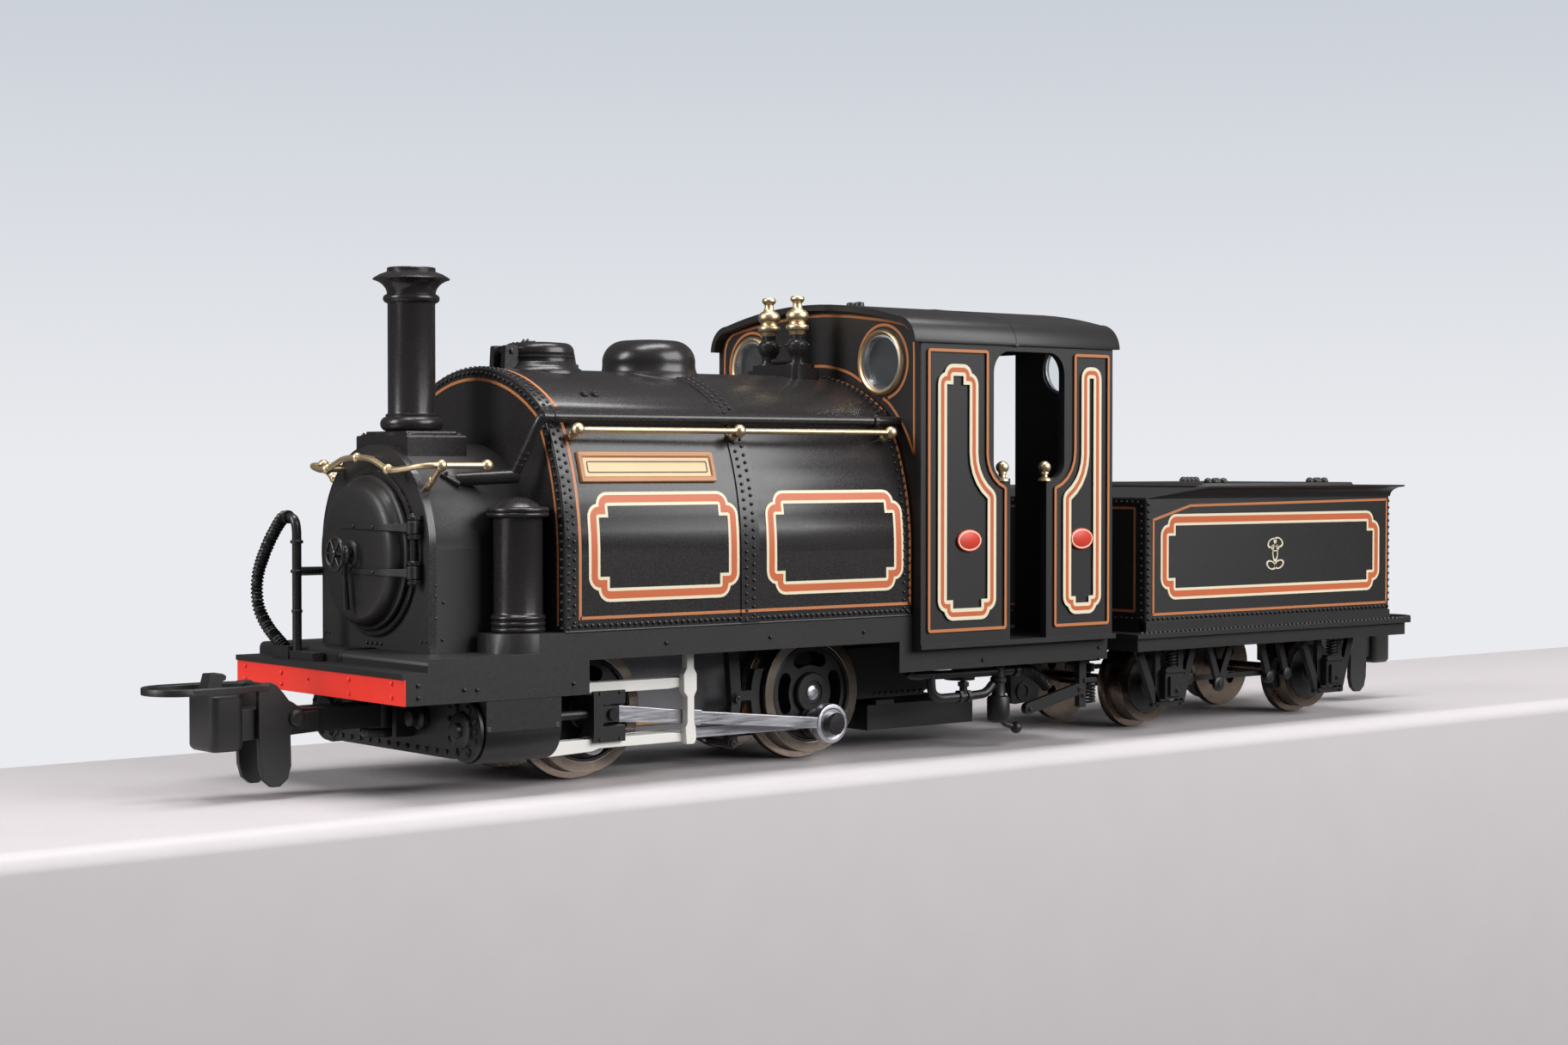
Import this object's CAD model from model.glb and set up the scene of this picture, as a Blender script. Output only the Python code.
"""Looks of the narrow-gauge saddle-tank locomotive and its tender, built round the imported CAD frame."""
import math
import bmesh
import bpy
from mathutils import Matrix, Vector


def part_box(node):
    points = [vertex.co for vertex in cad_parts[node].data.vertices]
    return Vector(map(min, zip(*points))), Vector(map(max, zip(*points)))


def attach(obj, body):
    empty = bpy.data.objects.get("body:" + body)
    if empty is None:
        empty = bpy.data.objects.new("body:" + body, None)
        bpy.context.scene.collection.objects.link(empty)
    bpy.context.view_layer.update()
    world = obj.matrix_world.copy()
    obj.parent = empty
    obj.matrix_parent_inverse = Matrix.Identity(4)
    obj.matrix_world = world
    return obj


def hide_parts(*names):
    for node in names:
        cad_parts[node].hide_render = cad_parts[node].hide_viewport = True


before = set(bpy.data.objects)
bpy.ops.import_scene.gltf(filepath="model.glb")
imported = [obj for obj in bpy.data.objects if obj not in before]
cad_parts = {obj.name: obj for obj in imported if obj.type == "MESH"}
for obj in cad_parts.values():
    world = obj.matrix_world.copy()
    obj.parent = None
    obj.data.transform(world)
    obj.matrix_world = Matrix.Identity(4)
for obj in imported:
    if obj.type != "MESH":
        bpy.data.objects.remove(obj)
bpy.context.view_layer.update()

MM = 0.001
SIDES = (1, -1)
UP, AHEAD = (0, 0, 1), (1, 0, 0)

# ------------------------------------------------------------ the frame's own measures
# Lengths below are millimetres from one datum: midway between the coupled axles, on the rail.
FLANGE = 0.5
WHEEL_R = (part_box("rear_tyres")[1].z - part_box("rear_tyres")[0].z) / 2 / MM - FLANGE


def middle(node):
    lo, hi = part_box(node)
    return (lo + hi) / 2


DATUM = (middle("rear_tyres") + middle("front_tyres")) / 2 - Vector((0, 0, WHEEL_R * MM))


def span(node, axis):
    """Where a CAD node begins and ends along an axis, in millimetres from the datum."""
    lo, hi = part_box(node)
    return (lo[axis] - DATUM[axis]) / MM, (hi[axis] - DATUM[axis]) / MM


def centre(node, axis):
    return sum(span(node, axis)) / 2


TANK_X = span("saddle_tank", 0)
TANK_HW = span("saddle_tank", 1)[1]
TANK_TOP = span("saddle_tank", 2)[1]
PLATE_Z = span("saddle_tank", 2)[0]
DECK_HW = span("front_buffer_beam", 1)[1]
BEAM_X = span("front_buffer_beam", 0)[1]
CAB_X = span("cab_shell", 0)
CAB_HW = span("cab_shell", 1)[1]
CHIMNEY_X = centre("chimney", 0)
REAR_AXLE = centre("rear_tyres", 0)
FRONT_AXLE = centre("front_tyres", 0)


# ------------------------------------------------------------ outlines
def turns(steps, start=0.0, sweep=360.0, closed=True):
    """Angles in radians, evenly spaced from start through sweep, both given in degrees."""
    count = steps if closed else steps + 1
    return [math.radians(start + sweep * i / steps) for i in range(count)]


def arc(u, v, r, start, end, steps=8):
    """Points round (u, v) at radius r, from one angle to another in degrees."""
    return [(u + r * math.cos(t), v + r * math.sin(t)) for t in turns(steps, start, end - start, False)]


def rectangle(u, v):
    return [(u[0], v[0]), (u[1], v[0]), (u[1], v[1]), (u[0], v[1])]


def outward(side, a, b):
    """The stretch from a to b out from the middle line, on one side."""
    return sorted((side * a, side * b))


def rounded(corners, radius=0.2, steps=4, closed=True):
    """Outline with its corners as arcs. A corner may carry its own radius as a third number."""
    points = []
    last = len(corners) - 1
    for i, corner in enumerate(corners):
        p = Vector(corner[:2])
        r = corner[2] if len(corner) > 2 else radius
        if r <= 0 or (not closed and i in (0, last)):
            points.append(tuple(p))
            continue
        a = Vector(corners[i - 1][:2]) - p
        b = Vector(corners[(i + 1) % len(corners)][:2]) - p
        half = a.angle(b) / 2
        reach = min(r / math.tan(half), 0.49 * a.length, 0.49 * b.length)
        a.normalize()
        b.normalize()
        hub = p + (a + b).normalized() * (reach / math.cos(half))
        first, final = p + a * reach - hub, p + b * reach - hub
        reach = first.length
        points += [tuple(hub + reach * first.slerp(final, k / steps)) for k in range(steps + 1)]
    return points


def eased(points, steps=6):
    """A smooth path through points, as a Catmull-Rom curve."""
    p = [Vector(q) for q in points]
    p = [2 * p[0] - p[1], *p, 2 * p[-1] - p[-2]]
    path = []
    for i in range(1, len(p) - 2):
        for k in range(steps):
            t = k / steps
            path.append(0.5 * (2 * p[i] + (p[i + 1] - p[i - 1]) * t
                               + (2 * p[i - 1] - 5 * p[i] + 4 * p[i + 1] - p[i + 2]) * t * t
                               + (3 * p[i] - p[i - 1] - 3 * p[i + 1] + p[i + 2]) * t ** 3))
    return path + [p[-2]]


def offset_outline(corners, d):
    """The outline moved outwards by d. Corners run anticlockwise as (u, v, kind, size): a notch
    steps in by its size on both edges, and a round one has that radius on the inner edge."""
    steps = 5
    ring = []
    for i, (u, v, kind, size) in enumerate(corners):
        p = Vector((u, v))
        a = (Vector(corners[i - 1][:2]) - p).normalized()
        b = (Vector(corners[(i + 1) % len(corners)][:2]) - p).normalized()
        out_a, out_b = Vector((-a.y, a.x)), Vector((b.y, -b.x))
        if kind == "notch":
            inner = p + size * (a + b)
            if d <= size:
                cusp = inner - d * (a + b)
            else:
                across = math.sqrt(d * d - size * size / 2)
                cusp = p + size * (a + b) / 2 - across * (a + b) / math.sqrt(2)
            near, far = p + size * a, p + size * b
            to_a = -a if d <= size else (cusp - near).normalized()
            to_b = -b if d <= size else (cusp - far).normalized()
            ring += [near + d * (-b).slerp(to_a, k / steps) for k in range(steps + 1)]
            ring.append(cusp)
            ring += [far + d * to_b.slerp(-a, k / steps) for k in range(steps + 1)]
        else:
            half = a.angle(b) / 2
            hub = p + (a + b).normalized() * (size / math.sin(half))
            convex = a.cross(b) < 0
            r = size + d if convex else d - size
            ring += [hub + r * out_a.slerp(out_b, k / steps) for k in range(steps + 1)]
    return ring


def divided(ring, counts):
    """The ring with each side cut into its count of equal parts."""
    out = []
    for i, count in enumerate(counts):
        a, b = Vector(ring[i]), Vector(ring[(i + 1) % len(ring)])
        out += [a.lerp(b, k / count) for k in range(count)]
    return out


# ------------------------------------------------------------ meshes
class Shape:
    """Closed surfaces for one piece, in millimetres from the datum."""

    def __init__(self):
        self.bm = bmesh.new()

    def skin(self, rings, loop=False):
        rows = [[self.bm.verts.new(p) for p in ring] for ring in rings]
        pairs = list(zip(rows, rows[1:]))
        if loop:
            pairs.append((rows[-1], rows[0]))
        else:
            self.bm.faces.new(rows[0][::-1])
            self.bm.faces.new(rows[-1])
        for a, b in pairs:
            for i in range(len(a)):
                j = (i + 1) % len(a)
                self.bm.faces.new((a[i], a[j], b[j], b[i]))
        return self

    def lathe(self, profile, origin, axis=UP, steps=40, loop=False):
        """A profile of (radius, height) turned about an axis through origin."""
        tip = 0.01
        turn = Vector(axis).to_track_quat("Z", "Y")
        circle = [Vector((math.cos(t), math.sin(t), 0)) for t in turns(steps)]
        rings = [[Vector(origin) + turn @ (c * max(r, tip) + Vector((0, 0, h))) for c in circle]
                 for r, h in profile]
        return self.skin(rings, loop)

    def ball(self, origin, r, steps=16):
        profile = [(r * math.sin(t), -r * math.cos(t)) for t in turns(10, 0, 180, False)]
        return self.lathe(profile, origin, UP, steps)

    def rod(self, a, b, r, steps=24, edge=0.05):
        """A round bar from a to b with its rims eased."""
        length = (Vector(b) - Vector(a)).length
        edge = min(edge, r / 3, length / 3)
        profile = [(r - edge, 0), (r, edge), (r, length - edge), (r - edge, length)]
        return self.lathe(profile, a, Vector(b) - Vector(a), steps)

    def tube(self, points, radius, steps=12):
        """A round section swept along points. radius is one number, or one for each point."""
        points = [Vector(p) for p in points]
        last = len(points) - 1
        radii = radius if isinstance(radius, list) else [radius] * len(points)
        side = (points[1] - points[0]).orthogonal()
        rings = []
        for i, p in enumerate(points):
            along = (points[min(i + 1, last)] - points[max(i - 1, 0)]).normalized()
            side = (side - side.dot(along) * along).normalized()
            up = along.cross(side)
            rings.append([p + radii[i] * (side * math.cos(t) + up * math.sin(t)) for t in turns(steps)])
        return self.skin(rings)

    def prism(self, outline, reach, axis="y"):
        """An outline in the plane across axis, carried from reach[0] to reach[1] along it."""
        place = {"x": lambda u, v, w: (w, u, v), "y": lambda u, v, w: (u, w, v),
                 "z": lambda u, v, w: (u, v, w)}[axis]
        return self.skin([[place(u, v, w) for u, v in outline] for w in reach])

    def box(self, x, y, z):
        return self.prism(rectangle(x, z), y)

    def stack(self, levels, loop=False):
        """Outlines of (x, y), each at its own height, joined in turn."""
        return self.skin([[(x, y, z) for x, y in outline] for outline, z in levels], loop)

    def slab(self, u, v, edge, reach, axis="y"):
        """A flat piece with its corners rounded by edge."""
        return self.prism(rounded(rectangle(u, v), edge), reach, axis)

    def rivet(self, at, normal, r=0.13):
        sunk = 0.04
        profile = [(r, -sunk), (r, 0.25 * r), (0.8 * r, 0.7 * r), (0.4 * r, 0.95 * r)]
        return self.lathe(profile, at, normal, steps=8)

    def rivet_row(self, first, step, count, normal, r=0.13):
        for k in range(count):
            self.rivet([a + d * k for a, d in zip(first, step)], normal, r)

    def bolt(self, at, normal, r=0.22, h=0.14):
        """A six-sided head on a thin washer, with a rounded stud end."""
        self.lathe([(1.35 * r, -0.04), (1.35 * r, 0.05)], at, normal, steps=16)
        self.lathe([(r, 0), (r, h), (0.85 * r, h + 0.03)], at, normal, steps=6)
        return self.lathe([(0.45 * r, h), (0.45 * r, h + 0.08), (0.2 * r, h + 0.11)], at, normal, steps=10)

    def stripe(self, points, normals, width, closed=False, lift=0.02):
        """A thin printed line along points that lie on a surface with those normals."""
        points = [Vector(p) for p in points]
        last = len(points) - 1
        rings = []
        for i, p in enumerate(points):
            before = points[i - 1] if closed or i else 2 * p - points[1]
            after = points[(i + 1) % len(points)] if closed or i < last else 2 * p - points[last - 1]
            t_in, t_out = (p - before).normalized(), (after - p).normalized()
            along = (t_in + t_out).normalized()
            n = Vector(normals[i]).normalized()
            cross = along.cross(n).normalized() * width / 2 / max(0.3, along.dot(t_out))
            low, high = -0.01 * n, lift * n
            rings.append([p - cross + low, p - cross + high, p + cross + high, p + cross + low])
        return self.skin(rings, loop=closed)

    def piece(self, name, body, finish, replaces=(), bevel=0.0, sharp=38):
        bmesh.ops.recalc_face_normals(self.bm, faces=self.bm.faces)
        for vert in self.bm.verts:
            vert.co = DATUM + vert.co * MM
        mesh = bpy.data.meshes.new(name)
        self.bm.to_mesh(mesh)
        self.bm.free()
        obj = bpy.data.objects.new(name, mesh)
        bpy.context.scene.collection.objects.link(obj)
        mesh.materials.append(FINISHES[finish][0])
        smooth(mesh, sharp)
        if bevel:
            soften(obj, bevel)
        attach(obj, body)
        if replaces:
            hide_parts(*([replaces] if isinstance(replaces, str) else replaces))
        return obj


def smooth(mesh, sharp):
    """Smooth shading, kept sharp at edges steeper than the angle."""
    mesh.polygons.foreach_set("use_smooth", [True] * len(mesh.polygons))
    mesh.set_sharp_from_angle(angle=math.radians(sharp))


def soften(obj, width, segments=2):
    """Rounds the edges that a moulding or a casting never leaves sharp."""
    mod = obj.modifiers.new("edges", "BEVEL")
    mod.width = width * MM
    mod.segments = segments
    mod.limit_method = "ANGLE"
    mod.angle_limit = math.radians(40)
    mod.harden_normals = True


# ------------------------------------------------------------ finishes
def add_node(tree, kind, **values):
    """A shader node with its inputs set. An underscore in an input's name stands for a space."""
    made = tree.nodes.new("ShaderNode" + kind)
    for name, value in values.items():
        made.inputs[name.replace("_", " ")].default_value = value
    return made


def join(tree, *wires):
    """Each wire is (node, output, node, input)."""
    for source, output, target, name in wires:
        tree.links.new(source.outputs[output], target.inputs[name])


def surface(name, colour, rough, metal=0.0, mottle=0.12, rough_spread=0.06, grain=9000.0,
            bump=0.08, stretch=(1, 1, 1), clear=None):
    """A procedural finish: a slight drift of colour, a grain in the gloss and a fine bump."""
    mat = bpy.data.materials.new(name)
    mat.use_nodes = True
    tree = mat.node_tree
    shader = tree.nodes["Principled BSDF"]
    shader.inputs["Metallic"].default_value = metal
    coords = add_node(tree, "TexCoord")
    mapping = add_node(tree, "Mapping", Scale=stretch)
    fine = add_node(tree, "TexNoise", Scale=grain, Detail=3.0)
    broad = add_node(tree, "TexNoise", Scale=260.0, Detail=4.0)
    tint = add_node(tree, "Mix")
    tint.data_type = "RGBA"
    tint.inputs["A"].default_value = (*[c * (1 - mottle) for c in colour], 1)
    tint.inputs["B"].default_value = (*[min(1, c * (1 + mottle)) for c in colour], 1)
    gloss = add_node(tree, "MapRange", From_Min=0.3, From_Max=0.7, To_Min=rough - rough_spread,
                     To_Max=rough + rough_spread)
    relief = add_node(tree, "Bump", Strength=bump, Distance=0.00002)
    join(tree, (coords, "Object", mapping, "Vector"), (mapping, "Vector", fine, "Vector"),
         (coords, "Object", broad, "Vector"), (broad, "Fac", tint, "Factor"), (tint, "Result", shader, "Base Color"),
         (fine, "Fac", gloss, "Value"), (gloss, "Result", shader, "Roughness"), (fine, "Fac", relief, "Height"),
         (relief, "Normal", shader, "Normal"))
    if clear is not None:
        shader.inputs["Transmission Weight"].default_value = clear
        shader.inputs["IOR"].default_value = 1.3
    return mat


TURNED = (0.1, 3, 0.1)         # grain drawn out round an axle
DRAWN = (0.08, 1, 1)           # grain drawn out along the train
WHEEL_METAL = dict(metal=1.0, mottle=0.15, rough_spread=0.08, grain=5000, bump=0.3, stretch=TURNED)
BAR_METAL = dict(metal=1.0, rough_spread=0.08, bump=0.2, stretch=DRAWN)
FINISHES = {
    name: (surface(name, colour, rough, **more), slot) for name, slot, colour, rough, more in (
        ("gloss_black", "black_plastic", (0.022, 0.0195, 0.0195), 0.27, dict(bump=0.12)),
        ("satin_black", "black_plastic", (0.018, 0.016, 0.016), 0.42, dict(bump=0.15)),
        ("matt_black", "black_plastic", (0.016, 0.014, 0.014), 0.55, dict(bump=0.25)),
        ("chassis_black", "black_metal", (0.010, 0.0095, 0.010), 0.44, dict(bump=0.2)),
        ("hose", "hose_black", (0.010, 0.0095, 0.010), 0.36, dict(bump=0.2)),
        ("red", "buffer_red", (0.92, 0.045, 0.028), 0.42, {}),
        ("brass", "brass", (0.74, 0.58, 0.36), 0.40, dict(metal=1.0, mottle=0.18, rough_spread=0.1)),
        ("steel", "rod_steel", (0.62, 0.62, 0.66), 0.34, dict(BAR_METAL, mottle=0.06, grain=6000)),
        ("tyre", "tyre_steel", (0.30, 0.245, 0.205), 0.27, WHEEL_METAL),
        ("wheelset", "tyre_steel", (0.16, 0.125, 0.10), 0.25, WHEEL_METAL),
        ("white", "bar_white", (0.84, 0.82, 0.77), 0.42, dict(bump=0.1)),
        ("orange", "black_plastic", (0.62, 0.140, 0.045), 0.45, dict(mottle=0.06)),
        ("thin_orange", "black_plastic", (0.56, 0.20, 0.07), 0.45, dict(mottle=0.06)),
        ("cream", "black_plastic", (0.90, 0.80, 0.58), 0.45, dict(mottle=0.04)),
        ("plate_red", "buffer_red", (0.70, 0.055, 0.03), 0.4, {}),
        ("plate_brown", "plate_brown", (0.50, 0.22, 0.085), 0.42, {}),
        ("plate_field", "plate_brown", (0.84, 0.60, 0.32), 0.42, {}),
        ("die_cast", "die_cast", (0.20, 0.20, 0.21), 0.5,
         dict(metal=0.6, mottle=0.15, rough_spread=0.1, grain=4000, bump=0.4)),
        ("gear_brass", "gear_brass", (0.76, 0.55, 0.25), 0.3, dict(metal=1.0, mottle=0.1)),
        ("nylon", "gear_nylon", (0.85, 0.83, 0.76), 0.5, {}),
        ("motor", "motor_steel", (0.55, 0.55, 0.57), 0.36, dict(BAR_METAL, mottle=0.08, grain=5000)),
        ("armature", "armature", (0.55, 0.30, 0.16), 0.4, dict(metal=0.8)),
        ("board", "board_green", (0.03, 0.18, 0.06), 0.35, {}),
        ("bronze", "bronze", (0.70, 0.40, 0.18), 0.34, dict(metal=1.0)),
        ("glass", "clear", (0.90, 0.93, 0.94), 0.05,
         dict(mottle=0.01, rough_spread=0.02, grain=3000, bump=0.0, clear=0.97)),
    )
}
WELD = 0.000002                # metres: corners closer than this are one


def dress(finish, names, bevel):
    """Gives CAD nodes their finish and, where asked, eased edges."""
    for name in names:
        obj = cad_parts[name]
        for slot in obj.material_slots:
            slot.material = FINISHES[finish][0]
        if bevel:
            weld = obj.modifiers.new("weld", "WELD")
            weld.merge_threshold = WELD
            soften(obj, bevel)


for finish, nodes, bevel in (
        ("satin_black", "footplate cab_roof cab_shell tender_footplate", 0.07),
        ("gloss_black", "saddle_tank", 0.1),
        ("matt_black", "smokebox", 0.1),
        ("red", "front_buffer_beam", 0.04),
        ("chassis_black", "cylinders keeper_plate brake_hangers drawbar", 0.05),
        ("chassis_black", "rear_wheel_centres front_wheel_centres crosshead_left crosshead_right", 0.06),
        ("tyre", "rear_tyres front_tyres", 0.05),
        ("wheelset", "tender_front_wheelset tender_rear_wheelset", 0.05),
        ("steel", "rear_axle front_axle coupling_rod_left coupling_rod_right", 0.05),
        ("steel", "fixing_screws", 0),
        ("die_cast", "chassis_block tank_weight tender_weight", 0),
        ("motor", "motor_can", 0),
        ("armature", "motor_shaft", 0),
        ("gear_brass", "worm drive_gear", 0),
        ("nylon", "idler_gear", 0),
        ("board", "circuit_board", 0),
        ("bronze", "wheel_wipers", 0),
        ("glass", "window_panes", 0)):
    dress(finish, nodes.split(), bevel)


# ------------------------------------------------------------ skins that carry rivets and lining
CROWN_R, CROWN_Z = 13.33, TANK_TOP - 13.33
SIDE_R, SIDE_Z = 19.56, 14.7
SIDE_Y = TANK_HW - SIDE_R


def tank_skin(z):
    """(y, normal y, normal z) of the left tank side at a height."""
    if z <= SIDE_Z:
        return TANK_HW, 1.0, 0.0
    rise = min(z - CROWN_Z, CROWN_R)
    crown_y = math.sqrt(CROWN_R ** 2 - rise ** 2)
    side_y = SIDE_Y + math.sqrt(SIDE_R ** 2 - (z - SIDE_Z) ** 2)
    if side_y < crown_y:
        return side_y, (side_y - SIDE_Y) / SIDE_R, (z - SIDE_Z) / SIDE_R
    return crown_y, crown_y / CROWN_R, rise / CROWN_R


def tank_section(bottom, inset=0.0, spacing=0.5):
    """Points (y, z) and normals round the tank from one side over the crown to the other, evenly spaced."""
    fine = [bottom + (TANK_TOP - bottom) * math.sin(math.pi / 2 * i / 240) for i in range(241)]
    half = [(*tank_skin(z), z) for z in fine]
    path = half + [(-y, -ny, nz, z) for y, ny, nz, z in half[-2::-1]]
    path = [(y - inset * ny, z - inset * nz, ny, nz) for y, ny, nz, z in path]
    length = sum(math.dist(a[:2], b[:2]) for a, b in zip(path, path[1:]))
    step = length / round(length / spacing)
    out, run = [path[0]], 0.0
    for a, b in zip(path, path[1:]):
        run += math.dist(a[:2], b[:2])
        if run >= step - 1e-6:
            out.append(b)
            run -= step
    return out


def on_tank(side):
    """Maps outline points to the curved side of the tank."""
    def place(x, z, lift):
        y, ny, nz = tank_skin(z)
        return x, side * (y + lift * ny), z + lift * nz
    return place


def on_side(y, side):
    """Maps outline points to a flat side sheet."""
    return lambda x, z, lift: (x, side * (y + lift), z)


def strip(shape, ring_a, ring_b, place, longest=1.2, low=-0.02, lift=0.035):
    """A printed strip between two outlines with matching corners."""
    counts = [max(1, math.ceil(math.dist(a, b) / longest))
              for a, b in zip(ring_a, ring_a[1:] + ring_a[:1])]
    ring_a, ring_b = divided(ring_a, counts), divided(ring_b, counts)
    shape.skin([[place(*a, low), place(*a, lift), place(*b, lift), place(*b, low)]
                for a, b in zip(ring_a, ring_b)], loop=True)


def band(cream, orange, corners, place, width=0.9, edge=0.2):
    """A broad line edged on both sides, round the given inner outline."""
    rings = [offset_outline(corners, d) for d in (0, edge, width - edge, width)]
    strip(cream, rings[0], rings[1], place)
    strip(orange, rings[1], rings[2], place)
    strip(cream, rings[2], rings[3], place)


def fine_line(shape, corners, place, width=0.2):
    """A narrow line along a rounded outline."""
    outer = [(u, v, "round", 0.12) for u, v in corners]
    strip(shape, offset_outline(outer, -width), offset_outline(outer, 0), place)


def notched(u, v, inset, step):
    """Inner outline of a band that fills u by v, with square steps cut into its corners."""
    u, v = (u[0] + inset, u[1] - inset), (v[0] + inset, v[1] - inset)
    return [(*corner, "notch", step) for corner in rectangle(u, v)]


STRAP_LIFT = 0.09


def tank_fittings():
    """Rivets, the butt strap and the lining on the saddle tank."""
    rivets, strap = Shape(), Shape()
    cream, orange, thin = Shape(), Shape(), Shape()
    bottom = PLATE_Z + 0.25
    for x, phase, lift in ((TANK_X[1] - 0.3, 0, 0), (TANK_X[1] - 0.75, 1, 0), (TANK_X[0] + 0.3, 0, 0),
                           (TANK_X[0] + 0.75, 1, 0), (0.12, 0, STRAP_LIFT), (-0.52, 1, STRAP_LIFT)):
        for y, z, ny, nz in tank_section(bottom, spacing=0.29)[phase::2]:
            rivets.rivet((x, y + lift * ny, z + lift * nz), (0, ny, nz))
    for x in TANK_X:
        facing = 1 if x > 0 else -1
        for y, z, ny, nz in tank_section(bottom, 0.35, 0.55):
            rivets.rivet((x, y, z), (facing, 0, 0), 0.15)
    for side in SIDES:
        rivets.rivet_row((TANK_X[0] + 0.5, side * TANK_HW, 10.27), (0.49, 0, 0), 60, (0, side, 0), 0.15)
    rivets.piece("tank_rivets", "engine", "gloss_black")
    # strap over the joint of the two wrappers
    section = tank_section(bottom - 0.2, spacing=0.6)
    profile = ((0.58, -0.05), (0.55, STRAP_LIFT), (-1.0, STRAP_LIFT), (-1.04, -0.05))
    strap.skin([[(x, y + h * ny, z + h * nz) for x, h in profile] for y, z, ny, nz in section])
    strap.piece("tank_strap", "engine", "gloss_black")
    # broad bands on both panels of each side, and one narrow line round the whole wrapper
    for side in SIDES:
        for u in ((0.70, 13.13), (-14.27, -1.70)):
            band(cream, orange, notched(u, (11.76, 18.92), 0.9, 0.75), on_tank(side))
        length = [(-14.9 + 28.71 * i / 4, side * TANK_HW, 10.77) for i in range(5)]
        thin.stripe(length, [(0, side, 0)] * 5, 0.2)
        over_strap = [(x, side * (TANK_HW + STRAP_LIFT), 10.77) for x in (-1.02, 0.57)]
        thin.stripe(over_strap, [(0, side, 0)] * 2, 0.2)
    section = tank_section(10.67, spacing=0.6)
    for x in (13.81, -14.9):
        thin.stripe([(x, y, z) for y, z, ny, nz in section], [(0, ny, nz) for y, z, ny, nz in section], 0.22)
    section = tank_section(10.3, 0.78, 0.6)
    thin.stripe([(TANK_X[1], y, z) for y, z, _, _ in section], [AHEAD] * len(section), 0.2)
    cream.piece("tank_bands_cream", "engine", "cream")
    orange.piece("tank_bands_orange", "engine", "orange")
    thin.piece("tank_border", "engine", "thin_orange")
    # washout plugs on the shoulder
    plugs = Shape()
    for side in SIDES:
        for x in (10.75, 9.9):
            y, ny, nz = tank_skin(25.35)
            plugs.bolt((x, side * y, 25.35), (0, side * ny, nz), 0.24, 0.16)
    plugs.piece("washout_plugs", "engine", "gloss_black")


def nameplates():
    """Raised frames with a pale field. The maker's lettering is left off."""
    x, z, longest = (2.3, 13.4), (19.5, 21.5), 0.5

    def corners(inset):
        return rounded(rectangle((x[0] + inset, x[1] - inset), (z[0] + inset, z[1] - inset)), 0.06, 2)

    outer = corners(0)
    counts = [max(1, math.ceil(math.dist(a, b) / longest)) for a, b in zip(outer, outer[1:] + outer[:1])]
    frame_part, field, rule = Shape(), Shape(), Shape()
    for side in SIDES:
        place = on_tank(side)

        def ring(inset, lift):
            return [place(*p, lift) for p in divided(corners(inset), counts)]

        frame_part.skin([ring(*p) for p in ((0, -0.1), (0, 0.2), (0.06, 0.3), (0.30, 0.3), (0.40, 0.2),
                                            (0.40, -0.1))], loop=True)
        field.skin([ring(0.38, -0.1), ring(0.38, 0.2)])
        outline = rectangle((x[0] + 0.62, x[1] - 0.62), (z[0] + 0.62, z[1] - 0.62))
        fine_line(rule, outline, lambda u, v, lift: place(u, v, 0.19 + lift), 0.07)
    frame_part.piece("nameplate_frames", "engine", "plate_brown", "nameplates")
    field.piece("nameplate_fields", "engine", "plate_field", "nameplates")
    rule.piece("nameplate_rules", "engine", "satin_black", "nameplates")


# ------------------------------------------------------------ boiler fittings
def chimney():
    """The turned chimney with its lipped cap, on a saddle plate."""
    shape, z = Shape(), 22.6
    profile = [(1.2, z), (2.35, z), (2.35, 22.8), (2.1, 22.87)]
    profile += arc(1.58, 23.4, 0.5, -75, 75)
    profile += [(1.72, 23.92), (1.72, 24.02), (1.59, 24.08), (1.57, 24.2), (1.57, 31.3), (1.6, 31.38)]
    profile += arc(1.58, 31.68, 0.29, -75, 75)
    profile += [tuple(p) for p in eased([(1.6, 32.0), (1.68, 32.3), (1.92, 32.62), (2.25, 32.83), (2.53, 32.93)], 4)]
    profile += [(2.55, 32.98), (2.48, 33.05), (2.1, 33.28), (1.72, 33.42), (1.6, 33.47), (1.6, 33.68)]
    profile += [(1.55, 33.73), (1.27, 33.73), (1.2, 33.66), (1.2, 27.0)]
    shape.lathe(profile, (CHIMNEY_X, 0, 0), steps=64, loop=True)
    # saddle plate curved to the smokebox, in two thicknesses
    for x, w, top in (((17.6, 22.1), 3.25, 22.62), ((17.95, 21.75), 2.6, 22.9)):
        under = [(6.7 * math.sin(t), SMOKEBOX_Z + 6.7 * math.cos(t)) for t in turns(12, -29, 58, False)]
        under = [p for p in under if abs(p[0]) < w]
        outline = [(-w, under[0][1] - 0.3), *under, (w, under[-1][1] - 0.3), (w, top - 0.12), (w - 0.12, top),
                   (-w + 0.12, top), (-w, top - 0.12)]
        shape.prism(outline[::-1], x, "x")
    for x in (17.95, 21.75):
        for y in (-2.9, 2.9):
            shape.bolt((x, y, 22.62), UP, 0.16, 0.1)
    shape.piece("chimney_turned", "engine", "gloss_black", "chimney")


FILLER_X, DOME_X = 9.7, 0.3


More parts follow.
